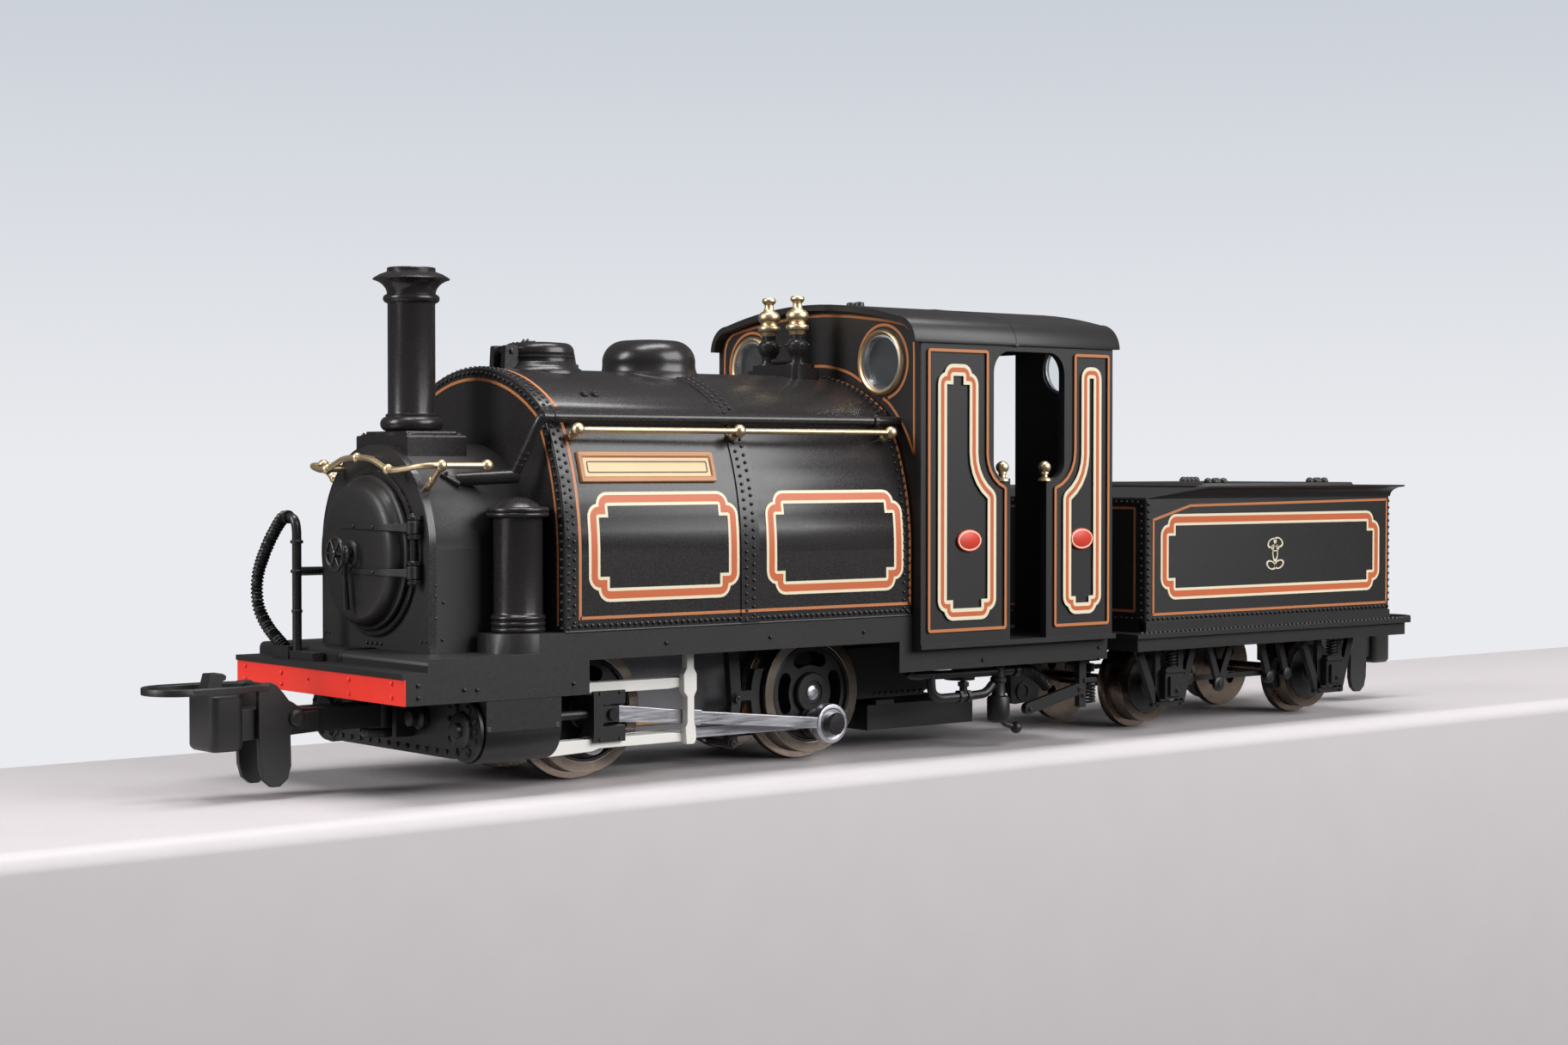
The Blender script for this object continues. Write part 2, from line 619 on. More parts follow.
def filler_and_dome():
    """The tank filler with its lid, strap and clips, and the dome behind it."""
    shape = Shape()
    profile = [(0, 26.3), (3.1, 26.3), (3.05, 27.0), (2.95, 27.2), (2.72, 27.36), (2.58, 27.5), (2.52, 27.66)]
    profile += [(2.44, 27.74), (2.42, 27.95), (2.50, 28.0), (2.50, 28.1), (2.42, 28.16), (2.42, 28.3)]
    profile += [(2.46, 28.36), *arc(1.82, 28.42, 0.62, 0, 80), (1.0, 29.1), (0, 29.12)]
    shape.lathe(profile, (FILLER_X, 0, 0), steps=56)
    # hinge bracket in front, its pin, the strap over the lid and the clip behind
    bracket = rounded([(11.9, 26.4), (13.15, 26.4), (13.0, 28.8), (12.0, 28.8)], 0.15)
    for y in ((-0.95, -0.45), (0.45, 0.95)):
        shape.prism(bracket, y)
    shape.prism(rounded([(10.2, 28.7), (12.6, 28.45), (12.6, 28.75), (10.2, 29.2)], 0.06), (-0.38, 0.38))
    shape.rod((12.5, -1.1, 28.4), (12.5, 1.1, 28.4), 0.2, 14)
    shape.prism(rounded([(6.7, 26.6), (7.4, 26.6), (7.55, 28.4), (7.05, 28.4)], 0.12), (-0.5, 0.5))
    shape.rod((7.0, -0.75, 27.5), (7.0, 0.75, 27.5), 0.16, 12)
    for y in (-0.25, 0.25):
        shape.bolt((10.75, y, 29.08), UP, 0.15, 0.12)
        shape.bolt((11.6, y, 28.85), UP, 0.15, 0.12)
    shape.piece("filler_turned", "engine", "gloss_black", "tank_filler")
    shape = Shape()
    profile = [(0, 26.0), (3.75, 26.2), (3.62, 26.9), (3.44, 27.15), (3.34, 27.4), (3.3, 27.7), (3.3, 27.9)]
    profile += [*arc(1.75, 27.92, 1.56, 5, 82, 12), (1.2, 29.52), (0, 29.55)]
    shape.lathe(profile, (DOME_X, 0, 0), steps=64)
    shape.piece("dome_turned", "engine", "gloss_black", "dome")


VALVE_X, VALVE_Y = -12.05, 1.65


def safety_valves():
    """Two turned brass valves on black bases, joined by a manifold."""
    brass, base = Shape(), Shape()
    profile = [(0, 30.22), (0.57, 30.22), (0.61, 30.3), (0.61, 30.5), (0.66, 30.58), (0.80, 30.62), (0.84, 30.74),
               (0.84, 30.86), (0.78, 30.96), (0.64, 31.0), (0.60, 31.08), (0.60, 31.2), (0.68, 31.26), (0.77, 31.36),
               (0.82, 31.52), (0.82, 31.7), (0.76, 31.88), (0.63, 32.0), (0.47, 32.08), (0.37, 32.22), (0.32, 32.4),
               (0.33, 32.56), (0.42, 32.66), (0.50, 32.75), (0.52, 32.87), (0.50, 32.98), (0.42, 33.06), (0, 33.1)]
    for side in SIDES:
        spot = (VALVE_X, side * VALVE_Y, 0)
        brass.lathe(profile, spot, steps=36)
        base.lathe([(0, 27.9), (0.85, 28.0), (0.82, 28.12), (0.6, 28.2), (0.55, 28.6), (0.62, 28.8), (0.76, 28.95),
                    (0.8, 29.2), (0.8, 29.5), (0.74, 29.7), (0.58, 29.86), (0.5, 29.95), (0.5, 30.25), (0, 30.28)],
                   spot, steps=32)
        for t in turns(6, 20):
            out = (math.cos(t), math.sin(t), 0)
            base.bolt((VALVE_X + 0.78 * out[0], side * VALVE_Y + 0.78 * out[1], 29.45), out, 0.11, 0.08)
    base.slab((VALVE_X - 1.3, VALVE_X + 1.3), (-2.9, 2.9), 0.5, (26.6, 27.65), "z")
    base.slab((VALVE_X - 1.05, VALVE_X + 1.05), (-2.65, 2.65), 0.5, (27.6, 28.05), "z")
    base.tube([(VALVE_X, -VALVE_Y, 28.35), (VALVE_X, VALVE_Y, 28.35)], 0.24)
    brass.piece("valves_turned", "engine", "brass", "safety_valves")
    base.piece("valve_bases", "engine", "gloss_black", "safety_valves")


def handrails():
    """The rails along the tank shoulders, and the one that dips across the smokebox."""
    rails = Shape()
    for side in SIDES:
        y, z = side * 10.3, 22.98
        rails.tube([(-13.9, y, z), (13.9, y, z)], 0.2, 16)
        for x in (-13.5, 0.26, 13.6):
            rails.ball((x, y, z), 0.46)
            rails.tube([(x, y, z), (x, side * 8.95, 22.35)], [0.24, 0.2], 12)
            rails.ball((x, side * 9.55, 22.62), 0.33)
    rails.piece("tank_rails_turned", "engine", "brass", "tank_handrails")
    rails = Shape()
    z, front = 20.65, 23.95
    left = [(18.75, 7.5, z), (20.5, 7.5, z), (22.2, 7.5, z), (22.9, 7.35, z), (23.45, 6.7, z - 0.05),
            (23.75, 5.7, z - 0.2), (front, 4.6, z - 0.3), (front, 3.7, z - 0.2), (front, 2.8, z + 0.1),
            (front, 1.9, z + 0.38), (front, 0.9, z + 0.5)]
    rails.tube(eased(left + [(x, -y, z) for x, y, z in left[::-1]], 5), 0.2, 14)
    for side in SIDES:
        rails.ball((18.75, side * 7.5, z), 0.4)
        rails.ball((22.2, side * 7.5, z), 0.4)
        rails.tube([(22.2, side * 7.5, z), (22.0, side * 5.2, 18.9)], [0.2, 0.24], 12)
        rails.ball((22.1, side * 6.3, 19.75), 0.28)
        rails.ball((front, side * 3.9, z - 0.24), 0.36)
        rails.tube([(front, side * 3.9, z - 0.24), (22.6, side * 3.9, z - 0.3)], 0.19, 12)
    rails.ball((front, 0.0, z + 0.52), 0.34)
    rails.tube([(front, 0, z + 0.5), (22.6, 0, z + 0.45)], 0.19, 12)
    rails.piece("smokebox_rail_turned", "engine", "brass", "smokebox_handrail")


def tank_pipes():
    """The pipe along each shoulder, its drop to the smokebox and the stouter pipe that enters there."""
    pipes = Shape()
    for side in SIDES:
        y, z = side * 9.3, 23.8
        kink, entry = (16.6, side * 7.3, 19.95), (19.55, side * 5.15, 19.75)
        pipes.tube([(TANK_X[0], y, z), (15.75, y, z)], 0.36, 18)
        drop = eased([(15.6, y, z), (15.85, side * 9.15, 23.45), (16.2, side * 8.3, 21.8), kink], 5)
        pipes.tube(drop, 0.34, 16)
        pipes.tube([(16.35, side * 7.5, 19.97), entry], 0.46, 18)
        pipes.ball(kink, 0.47)
        for k in range(3):
            pipes.tube([tuple(drop[-3 - k] + Vector((0, 0, d))) for d in (-0.05, 0.05)], 0.42, 14)
        for a, b, r in ((15.5, 15.82, 0.46), (14.7, 14.95, 0.42), (-13.0, -12.6, 0.5)):
            pipes.rod((a, y, z), (b, y, z), r, 20)
        for x in (13.5, 0.3, -13.0):
            pipes.tube([(x, y, z), (x, side * 8.1, 23.45)], 0.2, 10)
        # flange on the smokebox
        normal = Vector((0, side * 4.9, 4.58)).normalized()
        at = Vector((19.75, 0, SMOKEBOX_Z)) + SMOKEBOX_HW * normal
        pipes.lathe([(1.0, -0.15), (1.0, 0.2), (0.92, 0.27), (0.3, 0.3)], at, normal, 4)
        for x in (-0.62, 0.62):
            pipes.bolt(at + Vector((x, 0, 0)) + 0.26 * normal, normal, 0.14, 0.1)
    pipes.piece("tank_pipes_bent", "engine", "gloss_black", "tank_pipes")


def front_pots():
    """The tall pot on each side of the smokebox, with ribs at its foot and its cap."""
    pots = Shape()
    for side in SIDES:
        profile = [(0, 9.7), (1.8, 9.7), (1.8, 9.92)]
        for z in (10.1, 10.48, 10.86):
            profile += arc(1.62, z, 0.18, -70, 70, 6)
        profile += [(1.62, 11.1), (1.6, 11.2), (1.6, 17.2), (1.68, 17.32)]
        for z in (17.5, 17.8):
            profile += arc(1.88, z, 0.17, -80, 80, 6)
        profile += [(1.75, 18.0), *arc(0, 16.55, 2.08, 42, 88, 8), (0, 18.63)]
        pots.lathe(profile, (17.0, side * 8.4, 0), steps=48)
    pots.piece("pots_turned", "engine", "gloss_black", "front_pots")


# ------------------------------------------------------------ smokebox front
DOOR_Z, STRAP_Z = 14.95, (13.8, 16.7)
SMOKEBOX_HW, SMOKEBOX_Z, SMOKEBOX_X = 6.78, 15.32, 22.68
HINGE_X, HINGE_Y = 23.28, 5.75


def smokebox_front():
    """The front ring, the door seat, the hinge post, and the rivets above the plinth."""
    trim = Shape()
    hw, x = SMOKEBOX_HW, SMOKEBOX_X
    path = [(hw, 8.7)] + arc(0, SMOKEBOX_Z, hw, 0, 180, 40) + [(-hw, 8.7)]
    trim.skin([[(x - 0.5, y, z), (x - 0.5, y * 1.008, z), (x, y * 1.008, z), (x + 0.05, y * 0.995, z),
                (x + 0.02, y * 0.985, z)] for y, z in path])
    seat = [(5.2, 0), (5.5, 0), (5.5, 0.24), (5.42, 0.32), (5.2, 0.32)]
    trim.lathe(seat, (22.66, 0, DOOR_Z), AHEAD, 64, loop=True)
    for y in (-0.9, -0.3, 0.3, 0.9):
        trim.rivet((x, y, 9.0), AHEAD, 0.13)
    for side in SIDES:
        for y in (5.9, 6.4):
            trim.rivet((x, side * y, 9.4), AHEAD, 0.1)
        for x_side, z in ((22.2, 13.0), (22.2, 12.3), (21.6, 11.9), (22.2, 10.9), (21.7, 9.5)):
            trim.rivet((x_side, side * hw, z), (0, side, 0), 0.11)
    # hinge post, its lugs, and the clip on the rounded edge of the plinth
    for z in STRAP_Z:
        for dz in (-0.62, 0.62):
            trim.rod((HINGE_X, HINGE_Y, z + dz - 0.14), (HINGE_X, HINGE_Y, z + dz + 0.14), 0.34, 18)
            trim.box((22.6, 23.3), (5.45, 6.05), (z + dz - 0.12, z + dz + 0.12))
    trim.rod((HINGE_X, HINGE_Y, 12.9), (HINGE_X, HINGE_Y, 17.6), 0.16, 14)
    clip = [(24.87 + 0.48 * math.cos(t), 8.24 + 0.48 * math.sin(t)) for t in turns(10, 0, 90, False)]
    clip += [(22.75, 8.72), (22.75, 7.9), (25.35, 7.9)]
    for y in (-0.35, 0.05):
        trim.prism(clip, (y, y + 0.22))
    trim.piece("smokebox_front_trim", "engine", "gloss_black")


def door():
    """The dished door with its straps, its handwheel and the lever that hangs from it."""
    disc = Shape()
    profile = [(0, 0.0), (5.08, 0.0), (5.1, 0.05), (5.1, 0.26), (5.02, 0.34), (4.9, 0.36)]
    profile += [(4.86, 0.42), *arc(3.95, 0.4, 0.86, 5, 72, 9), (3.7, 1.3), (3.0, 1.36), (2.0, 1.42), (1.0, 1.45),
                (0, 1.46)]
    disc.lathe(profile, (22.98, 0, DOOR_Z), AHEAD, 72)
    # straps, slimmer at the free end, bent over the shoulder to their knuckles
    line = [(24.52, -1.3), (24.5, 3.3), (24.42, 3.9), (24.2, 4.5), (23.9, 5.0), (23.62, 5.5), (23.5, 5.8)]
    for z in STRAP_Z:
        rings = []
        for i, (x, y) in enumerate(line):
            tall = 0.16 + 0.13 * i / (len(line) - 1)
            rings.append([(x - 0.25, y, z - tall), (x + 0.04, y, z - tall), (x + 0.04, y, z + tall),
                          (x - 0.25, y, z + tall)])
        disc.skin(rings)
        disc.rod((HINGE_X, HINGE_Y, z - 0.42), (HINGE_X, HINGE_Y, z + 0.42), 0.38, 20)
        for y in (0.6, 3.0):
            disc.rivet((24.56, y, z), AHEAD, 0.12)
    disc.lathe([(0, -0.3), (0.95, -0.3), (0.95, 0.12), (0.8, 0.25), (0.62, 0.3), (0.62, 0.42), (0, 0.42)],
               (24.35, 0, DOOR_Z), AHEAD, 28)
    disc.piece("door_pressed", "smokebox_door", "satin_black", "smokebox_door", bevel=0.03)
    # six-spoked wheel, the nut behind it and the hanging lever
    wheel = Shape()
    x = 25.6
    ring = [(1.05 + 0.13 * math.cos(t), 0.13 * math.sin(t)) for t in turns(10)]
    wheel.lathe(ring, (x, 0, DOOR_Z), AHEAD, 36, loop=True)
    for t in turns(6):
        wheel.tube([(x, 0, DOOR_Z), (x, 1.06 * math.cos(t), DOOR_Z + 1.06 * math.sin(t))], [0.13, 0.09], 10)
    wheel.lathe([(0, -0.3), (0.3, -0.3), (0.3, 0.2), (0.2, 0.26), (0, 0.28)], (x, 0, DOOR_Z), AHEAD, 20)
    wheel.lathe([(0, -1.9), (0.24, -1.9), (0.24, -0.95), (0.62, -0.95), (0.7, -0.85), (0.7, -0.65), (0.6, -0.55),
                 (0.3, -0.5), (0.26, -0.3), (0, -0.3)], (x, 0, DOOR_Z), AHEAD, 24)
    wheel.piece("handwheel_spoked", "door_handwheel", "gloss_black", "door_handwheel")
    lever = Shape()
    lever.tube([(24.95, 0.05, DOOR_Z - 0.3), (24.9, 0.05, 13.4), (24.8, 0.05, 11.25)], [0.2, 0.17, 0.24], 12)
    lever.piece("door_lever", "smokebox_door", "gloss_black")


def ribbed_tube(shape, line, first_r, mean_r, rib, pitch, steps):
    """A tube that starts at first_r. Its radius then swings by rib about mean_r, once in every pitch."""
    radii, run = [first_r], 0.0
    for a, b in zip(line, line[1:]):
        run += (b - a).length
        radii.append(mean_r + rib * math.cos(2 * math.pi * run / pitch))
    shape.tube(line, radii, steps)


def vacuum_gear():
    """The standpipe in front of the smokebox and the ribbed hose that hangs from it."""
    pipe = Shape()
    x, y = 25.8, -4.7
    bend = [(x, y, 16.2), (x + 0.02, y - 0.08, 16.75), (x + 0.05, y - 0.35, 17.12), (x + 0.1, y - 0.85, 17.24)]
    pipe.tube([(x, y, 7.75), (x, y, 12.0), *eased(bend, 6)], 0.31, 18)
    for z, r in ((8.25, 0.42), (11.0, 0.37), (13.64, 0.42), (15.6, 0.43)):
        pipe.rod((x, y, z - 0.12), (x, y, z + 0.12), r, 20)
    pipe.tube([(x, y, 13.64), (22.5, -7.4, 13.5), (21.2, -7.12, 13.5)], 0.3, 16)
    pipe.box((25.42, 26.4), (-7.0, -4.9), (7.8, 8.7))
    pipe.box((25.42, 26.3), (-4.95, -1.8), (7.8, 8.4))
    pipe.piece("standpipe_bent", "engine", "gloss_black", "vacuum_standpipe", bevel=0.06)
    hose = Shape()
    line = eased([(25.9, -5.5, 17.23), (25.98, -6.07, 17.2), (26.08, -6.65, 16.75), (26.3, -7.82, 15.25),
                  (26.4, -8.95, 13.27), (26.4, -8.95, 11.33), (26.2, -8.07, 9.9), (26.0, -6.62, 8.84),
                  (25.95, -6.1, 8.5)], 28)
    ribbed_tube(hose, line, 0.44, 0.38, 0.07, 0.27, 18)
    hose.tube(line[:12], 0.4, 18)
    hose.piece("vacuum_hose_ribbed", "engine", "hose", "vacuum_hose", sharp=80)


# ------------------------------------------------------------ running plate
def deck_details():
    """Rivets on the running plate and the buffer beam, and the stretcher between the cylinders."""
    black, red = Shape(), Shape()
    for y, tops in ((-9.6, (7.15, 6.33)), (-4.59, (7.0, 6.25)), (4.2, (7.1, 6.23)), (9.42, (7.17, 6.32))):
        for z in tops:
            red.rivet((BEAM_X, y, z), AHEAD, 0.17)
    for side in SIDES:
        for x, z in ((25.98, 7.06), (25.98, 6.30), (22.64, 6.63), (21.69, 6.58), (14.35, 6.58), (6.89, 8.89),
                     (-2.0, 8.89), (-10.5, 8.89), (-22.11, 6.36), (-34.35, 6.72), (-34.35, 5.86)):
            black.rivet((x, side * DECK_HW, z), (0, side, 0), 0.15)
        # bead along the foot of the tank
        black.tube([(x, side * (DECK_HW - 0.03), PLATE_Z + 0.02) for x in TANK_X], 0.09, 8)
    # riveted stretcher between the cylinders
    black.slab((-7.6, 7.6), (1.9, 5.6), 0.2, (20.9, 21.3), "x")
    black.rivet_row((21.3, -6.6, 2.3), (0, 1.2, 0), 12, AHEAD, 0.17)
    for side in SIDES:
        black.rivet_row((21.3, side * 7.1, 2.9), (0, 0, 0.75), 4, AHEAD, 0.17)
        black.box((21.3, 22.6), (side * 2.3 - 0.25, side * 2.3 + 0.25), (3.0, 5.6))
        black.lathe([(0, 0), (0.75, 0), (0.75, 0.6), (0.5, 0.8), (0.5, 1.3), (0, 1.35)],
                    (21.2, side * 3.9, 4.3), AHEAD, 18)
    black.piece("deck_rivets", "engine", "chassis_black")
    red.piece("beam_rivets", "engine", "red")


def cylinder_details():
    """Covers with their ring of bolts, and the bands round each cylinder."""
    shape = Shape()
    for side in SIDES:
        y, z = side * 8.65, 3.85
        shape.lathe([(0, 0), (2.0, 0), (2.05, 0.06), (2.05, 0.28), (1.98, 0.34), (1.25, 0.36), (1.2, 0.42), (1.15, 0.6),
                     (0.9, 0.7), (0.5, 0.72), (0.45, 1.0), (0, 1.02)], (21.05, y, z), AHEAD, 40)
        for t in turns(8, 22.5):
            shape.bolt((21.4, y + 1.62 * math.cos(t), z + 1.62 * math.sin(t)), AHEAD, 0.17, 0.12)
        shape.lathe([(1.8, 0), (2.02, 0), (2.08, 0.06), (2.08, 0.26), (2.0, 0.32)], (15.25, y, z), AHEAD, 40)
        for x in (15.6, 20.8):
            shape.skin([[(x + w, y + r * math.cos(t), z + r * math.sin(t))
                         for w, r in ((-0.12, 2.2), (0.12, 2.2), (0.12, 2.12), (-0.12, 2.12))]
                        for t in turns(12, 0 if side > 0 else 90, 90, False)])
    shape.piece("cylinder_covers", "engine", "chassis_black")


# ------------------------------------------------------------ motion and wheels
def slide_bars():
    """The bars above and below each crosshead, and the bracket at their rear end."""
    shape = Shape()
    for side in SIDES:
        y = outward(side, 7.4, 8.4)
        shape.prism(rounded([(3.0, 5.72), (4.8, 5.56), (14.4, 5.55), (14.6, 5.62), (14.6, 6.32), (3.0, 6.28)], 0.08), y)
        shape.prism(rounded([(3.0, 1.92), (10.6, 1.92), (11.2, 1.75), (15.3, 1.6), (15.0, 2.58), (4.8, 2.58),
                             (3.0, 2.46)], 0.06), y)
        y = outward(side, 8.25, 8.85)
        shape.prism(rounded([(3.0, 1.75), (3.7, 1.75), (3.78, 2.9), (3.62, 3.2), (3.62, 5.0), (3.9, 5.3), (3.92, 6.5),
                             (3.66, 6.9), (3.62, 9.4), (3.06, 9.4), (3.04, 6.9), (2.8, 6.5), (2.8, 5.4), (3.02, 5.0),
                             (3.02, 3.2), (2.9, 2.9), (2.85, 2.1)], 0.15, 3), y)
    shape.piece("slide_bars_eased", "engine", "white", "slide_bars", bevel=0.09)


STROKE_Z, BIG_END_R, SMALL_END_R = 4.2, 1.4, 0.46


def rod_points(node, low_end):
    """Big end and small end of a connecting rod at rest, from its box."""
    x, z = span(node, 0), span(node, 2)
    big_z = z[0] + BIG_END_R if low_end else z[1] - BIG_END_R
    return (x[0] + BIG_END_R, big_z), (x[1] - SMALL_END_R, STROKE_Z)


def connecting_rod(node, side, low_end):
    """A rod whose front part is deeper, with its big end, small end and the cap on the crank pin."""
    big, small = (Vector(p) for p in rod_points(node, low_end))
    along = (small - big).normalized()
    up = Vector((-along.y, along.x))
    length = (small - big).length

    def bar(start, h_start, end, h_end, y):
        outline = ((start, -h_start), (end, -h_end), (end, h_end), (start, h_start))
        rod.prism([tuple(big + along * d + up * h) for d, h in outline], outward(side, *y))

    rod, cap = Shape(), Shape()
    bar(0.9, 0.39, 0.62 * length, 0.42, (7.47, 8.12))
    bar(0.62 * length, 0.44, length - 0.3, 0.56, (7.45, 8.18))
    bar(0.60 * length, 0.52, 0.635 * length, 0.52, (7.42, 8.2))
    hub = (big.x, side * 7.4, big.y)
    out = (0, side, 0)
    rod.lathe([(0, 0), (1.36, 0), (1.42, 0.08), (1.42, 0.72), (1.34, 0.8), (1.1, 0.82), (1.06, 0.74), (0, 0.74)],
              hub, out, 48)
    rod.lathe([(0, 0.0), (0.66, 0.0), (0.66, 0.7), (0, 0.72)], (small.x, side * 7.45, small.y), out, 24)
    rod.piece(node + "_forged", node, "steel", node, bevel=0.07)
    cap.lathe([(0, 0), (0.78, 0), (0.8, 0.08), (0.8, 0.5), (0.7, 0.62), (0.3, 0.66), (0, 0.67)],
              (big.x, side * 8.1, big.y), out, 28)
    cap.piece(node + "_cap", node, "gloss_black", node)


def wheel_details():
    """Raised rims and hub rings, crank nuts and the bright axle ends."""
    for name, body, x in (("rear", "rear_driver", REAR_AXLE), ("front", "front_driver", FRONT_AXLE)):
        black, bright = Shape(), Shape()
        for side in SIDES:
            at, out = (x, side * 5.6, WHEEL_R), (0, side, 0)
            black.lathe([(3.32, 0), (3.56, 0), (3.56, 0.22), (3.48, 0.28), (3.38, 0.28), (3.32, 0.2)],
                        at, out, 64, loop=True)
            black.lathe([(0.56, 0), (1.5, 0), (1.46, 0.34), (1.36, 0.44), (0.85, 0.46), (0.8, 0.36), (0.56, 0.36)],
                        at, out, 40, loop=True)
            bright.lathe([(0, 0), (0.55, 0), (0.55, 0.4), (0.48, 0.46), (0.2, 0.48), (0.16, 0.44), (0, 0.44)],
                         at, out, 28)
        black.piece(name + "_wheel_rings", body, "chassis_black")
        bright.piece(name + "_axle_ends", body, "steel")


def crosshead_details():
    """The pin and four rivets on each crosshead."""
    for node, side in (("crosshead_left", 1), ("crosshead_right", -1)):
        x = span(node, 0)[0] + 1.05
        shape = Shape()
        shape.rod((x, side * 8.5, STROKE_Z), (x, side * 9.0, STROKE_Z), 0.42, 20)
        for z in (2.55, 5.6):
            for dx in (-0.6, 1.0):
                shape.rivet((x + dx, side * 8.75, z), (0, side, 0), 0.12)
        shape.piece(node + "_pins", node, "gloss_black")


def brake_details():
    """Bolts on the brake hangers, and the hangers' upper ends."""
    shape = Shape()
    for side in SIDES:
        for x, z, r in ((-2.9, 8.2, 0.36), (-3.3, 4.3, 0.36), (-2.9, 1.15, 0.4)):
            shape.bolt((x, side * 5.55, z), (0, side, 0), r * 0.8, 0.16)
        shape.tube([(-2.9, side * 5.2, 8.5), (-2.9, side * 5.2, 9.4)], 0.3, 12)
    shape.piece("brake_bolts", "engine", "chassis_black")


def injector_pipes():
    """Feed and overflow pipes, injector, and the rocking arm with its spring, on both sides under the cab."""
    shape = Shape()
    for side in SIDES:
        y = side * 9.0
        feed = [(-16.4, y, 5.6), (-17.2, y, 5.35), (-22.0, y, 5.25), (-27.3, y, 5.25)]
        shape.tube(eased(feed, 4), 0.33, 14)
        line = eased([(-27.3, y, 5.25), (-28.4, y - side * 0.1, 5.2), (-29.4, y - side * 0.3, 4.9),
                      (-30.3, y - side * 0.4, 4.4), (-31.2, y - side * 0.5, 3.7)], 16)
        ribbed_tube(shape, line, 0.4, 0.4, 0.08, 0.3, 14)
        shape.rod((-27.5, y, 5.25), (-27.0, y, 5.25), 0.48, 16)
        back = [(-18.65, y, 5.3), (-18.65, y, 4.7), (-18.8, y, 4.0), (-19.4, y, 3.6), (-20.4, y, 3.55), (-23.2, y, 3.6),
                (-24.2, y, 3.75), (-24.9, y, 4.3)]
        shape.tube(eased(back, 5), 0.34, 14)
        for x in (-22.5, -21.7):
            shape.rod((x, y, 3.57), (x + 0.4, y, 3.57), 0.5, 6)
        shape.rod((-21.9, y, 3.57), (-21.9, y, 4.7), 0.3, 12)
        shape.rod((-21.9, y, 4.3), (-21.9, y, 4.65), 0.44, 6)
        # injector body, its neck and overflow
        shape.lathe([(0, 1.45), (0.6, 1.45), (0.78, 1.55), (0.86, 1.7), (0.86, 3.2), (0.78, 3.35), (0.55, 3.45),
                     (0.5, 3.6), (0.5, 4.4), (0.62, 4.5), (0.62, 4.75), (0.5, 4.85), (0.48, 5.85), (0, 5.9)],
                    (-25.5, y, 0), steps=28)
        shape.ball((-27.1, y + side * 0.25, 0.95), 0.45)
        shape.tube([(-25.5, y, 1.8), (-26.2, y, 1.25), (-27.1, y + side * 0.25, 0.95)], 0.22, 10)
        # rocking arm, bracket, spring and the plate behind
        arm = rounded([(-27.5, 1.85), (-27.4, 2.7), (-33.3, 4.0), (-33.6, 3.2)], 0.35)
        shape.prism(arm, sorted((y + side * 0.45, y + side * 0.95)))
        shape.slab((-34.5, -33.75), (2.05, 7.45), 0.12, sorted((y - side * 0.1, y + side * 0.4)))
        for x, z in ((-27.9, 2.3), (-33.2, 3.55)):
            shape.bolt((x, y + side * 0.93, z), (0, side, 0), 0.2, 0.1)
        shape.bolt((-34.12, y + side * 0.38, 3.0), (0, side, 0), 0.18, 0.1)
        coil = [(-35.1 + 0.36 * math.cos(t), y + side * 0.2 + 0.36 * math.sin(t), 2.4 + 1.6 * i / 72)
                for i, t in enumerate(turns(72, 0, 360 * 6, False))]
        shape.tube(coil, 0.1, 8)
        shape.slab((-35.6, -34.2), (3.95, 4.3), 0.1, sorted((y - side * 0.1, y + side * 0.5)))
        plate = rounded([(-32.2, 2.5), (-29.4, 2.3), (-29.0, 7.4), (-33.0, 7.4)], 0.4)
        shape.prism(plate, outward(side, 6.0, 6.45))
        shape.lathe([(0.45, 0), (0.75, 0), (0.75, 0.14), (0.45, 0.14)], (-30.6, side * 6.43, 3.3), (0, side, 0), 24,
                    loop=True)
        # rivets along the foot of the firebox
        shape.rivet_row((-17.9, side * 3.6, 3.6), (-0.58, 0, 0), 9, (0, side, 0), 0.15)
    shape.box((-22.9, -15.3), (-3.6, 3.6), (3.3, 7.1))
    shape.piece("injector_piping", "engine", "chassis_black", "injector_pipes", bevel=0.03)


# ------------------------------------------------------------ cab
def cab_openings_trim():
    """Turned window rings and door knobs."""
    gold, silver = Shape(), Shape()
    for x, y, facing in ((CAB_X[1], 7.49, 1), (CAB_X[0], 6.75, -1)):
        for side in SIDES:
            at, out = (x, side * y, 28.13), (facing, 0, 0)
            gold.lathe([(2.0, -0.05), (2.42, -0.05), (2.42, 0.1), (2.34, 0.24), (2.2, 0.3), (2.05, 0.22), (2.0, 0.1)],
                       at, out, 56, loop=True)
            silver.lathe([(1.78, -0.4), (1.97, -0.4), (2.0, 0.1), (1.9, 0.12), (1.8, -0.1)], at, out, 56, loop=True)
    gold.piece("window_rings_turned", "engine", "brass", "window_rings")
    silver.piece("window_seats", "engine", "steel", "window_rings")
    knobs = Shape()
    for side in SIDES:
        for x in (-23.46, -27.83):
            profile = [(0, 19.5), (0.5, 19.5), (0.46, 19.66), (0.24, 19.78), (0.22, 19.95), (0.34, 20.05), (0.3, 20.14)]
            profile += [(0.47 * math.cos(t), 20.5 + 0.47 * math.sin(t)) for t in turns(12, -50, 140, False)]
            knobs.lathe(profile, (x, side * (CAB_HW - 0.3), 0), steps=28)
    knobs.piece("door_knobs", "engine", "brass")


def shoulder(u_high, u_low, v_low, r):
    """Corners where a panel's edge sweeps out from u_high, in a hollow curve of radius r, to end at u_low."""
    turn = math.acos((r - abs(u_high - u_low)) / r)
    start = v_low + r * math.sin(turn)
    return [(u_high, start - r * math.tan(turn / 2), "round", r), (u_low, v_low, "round", 0.03)]


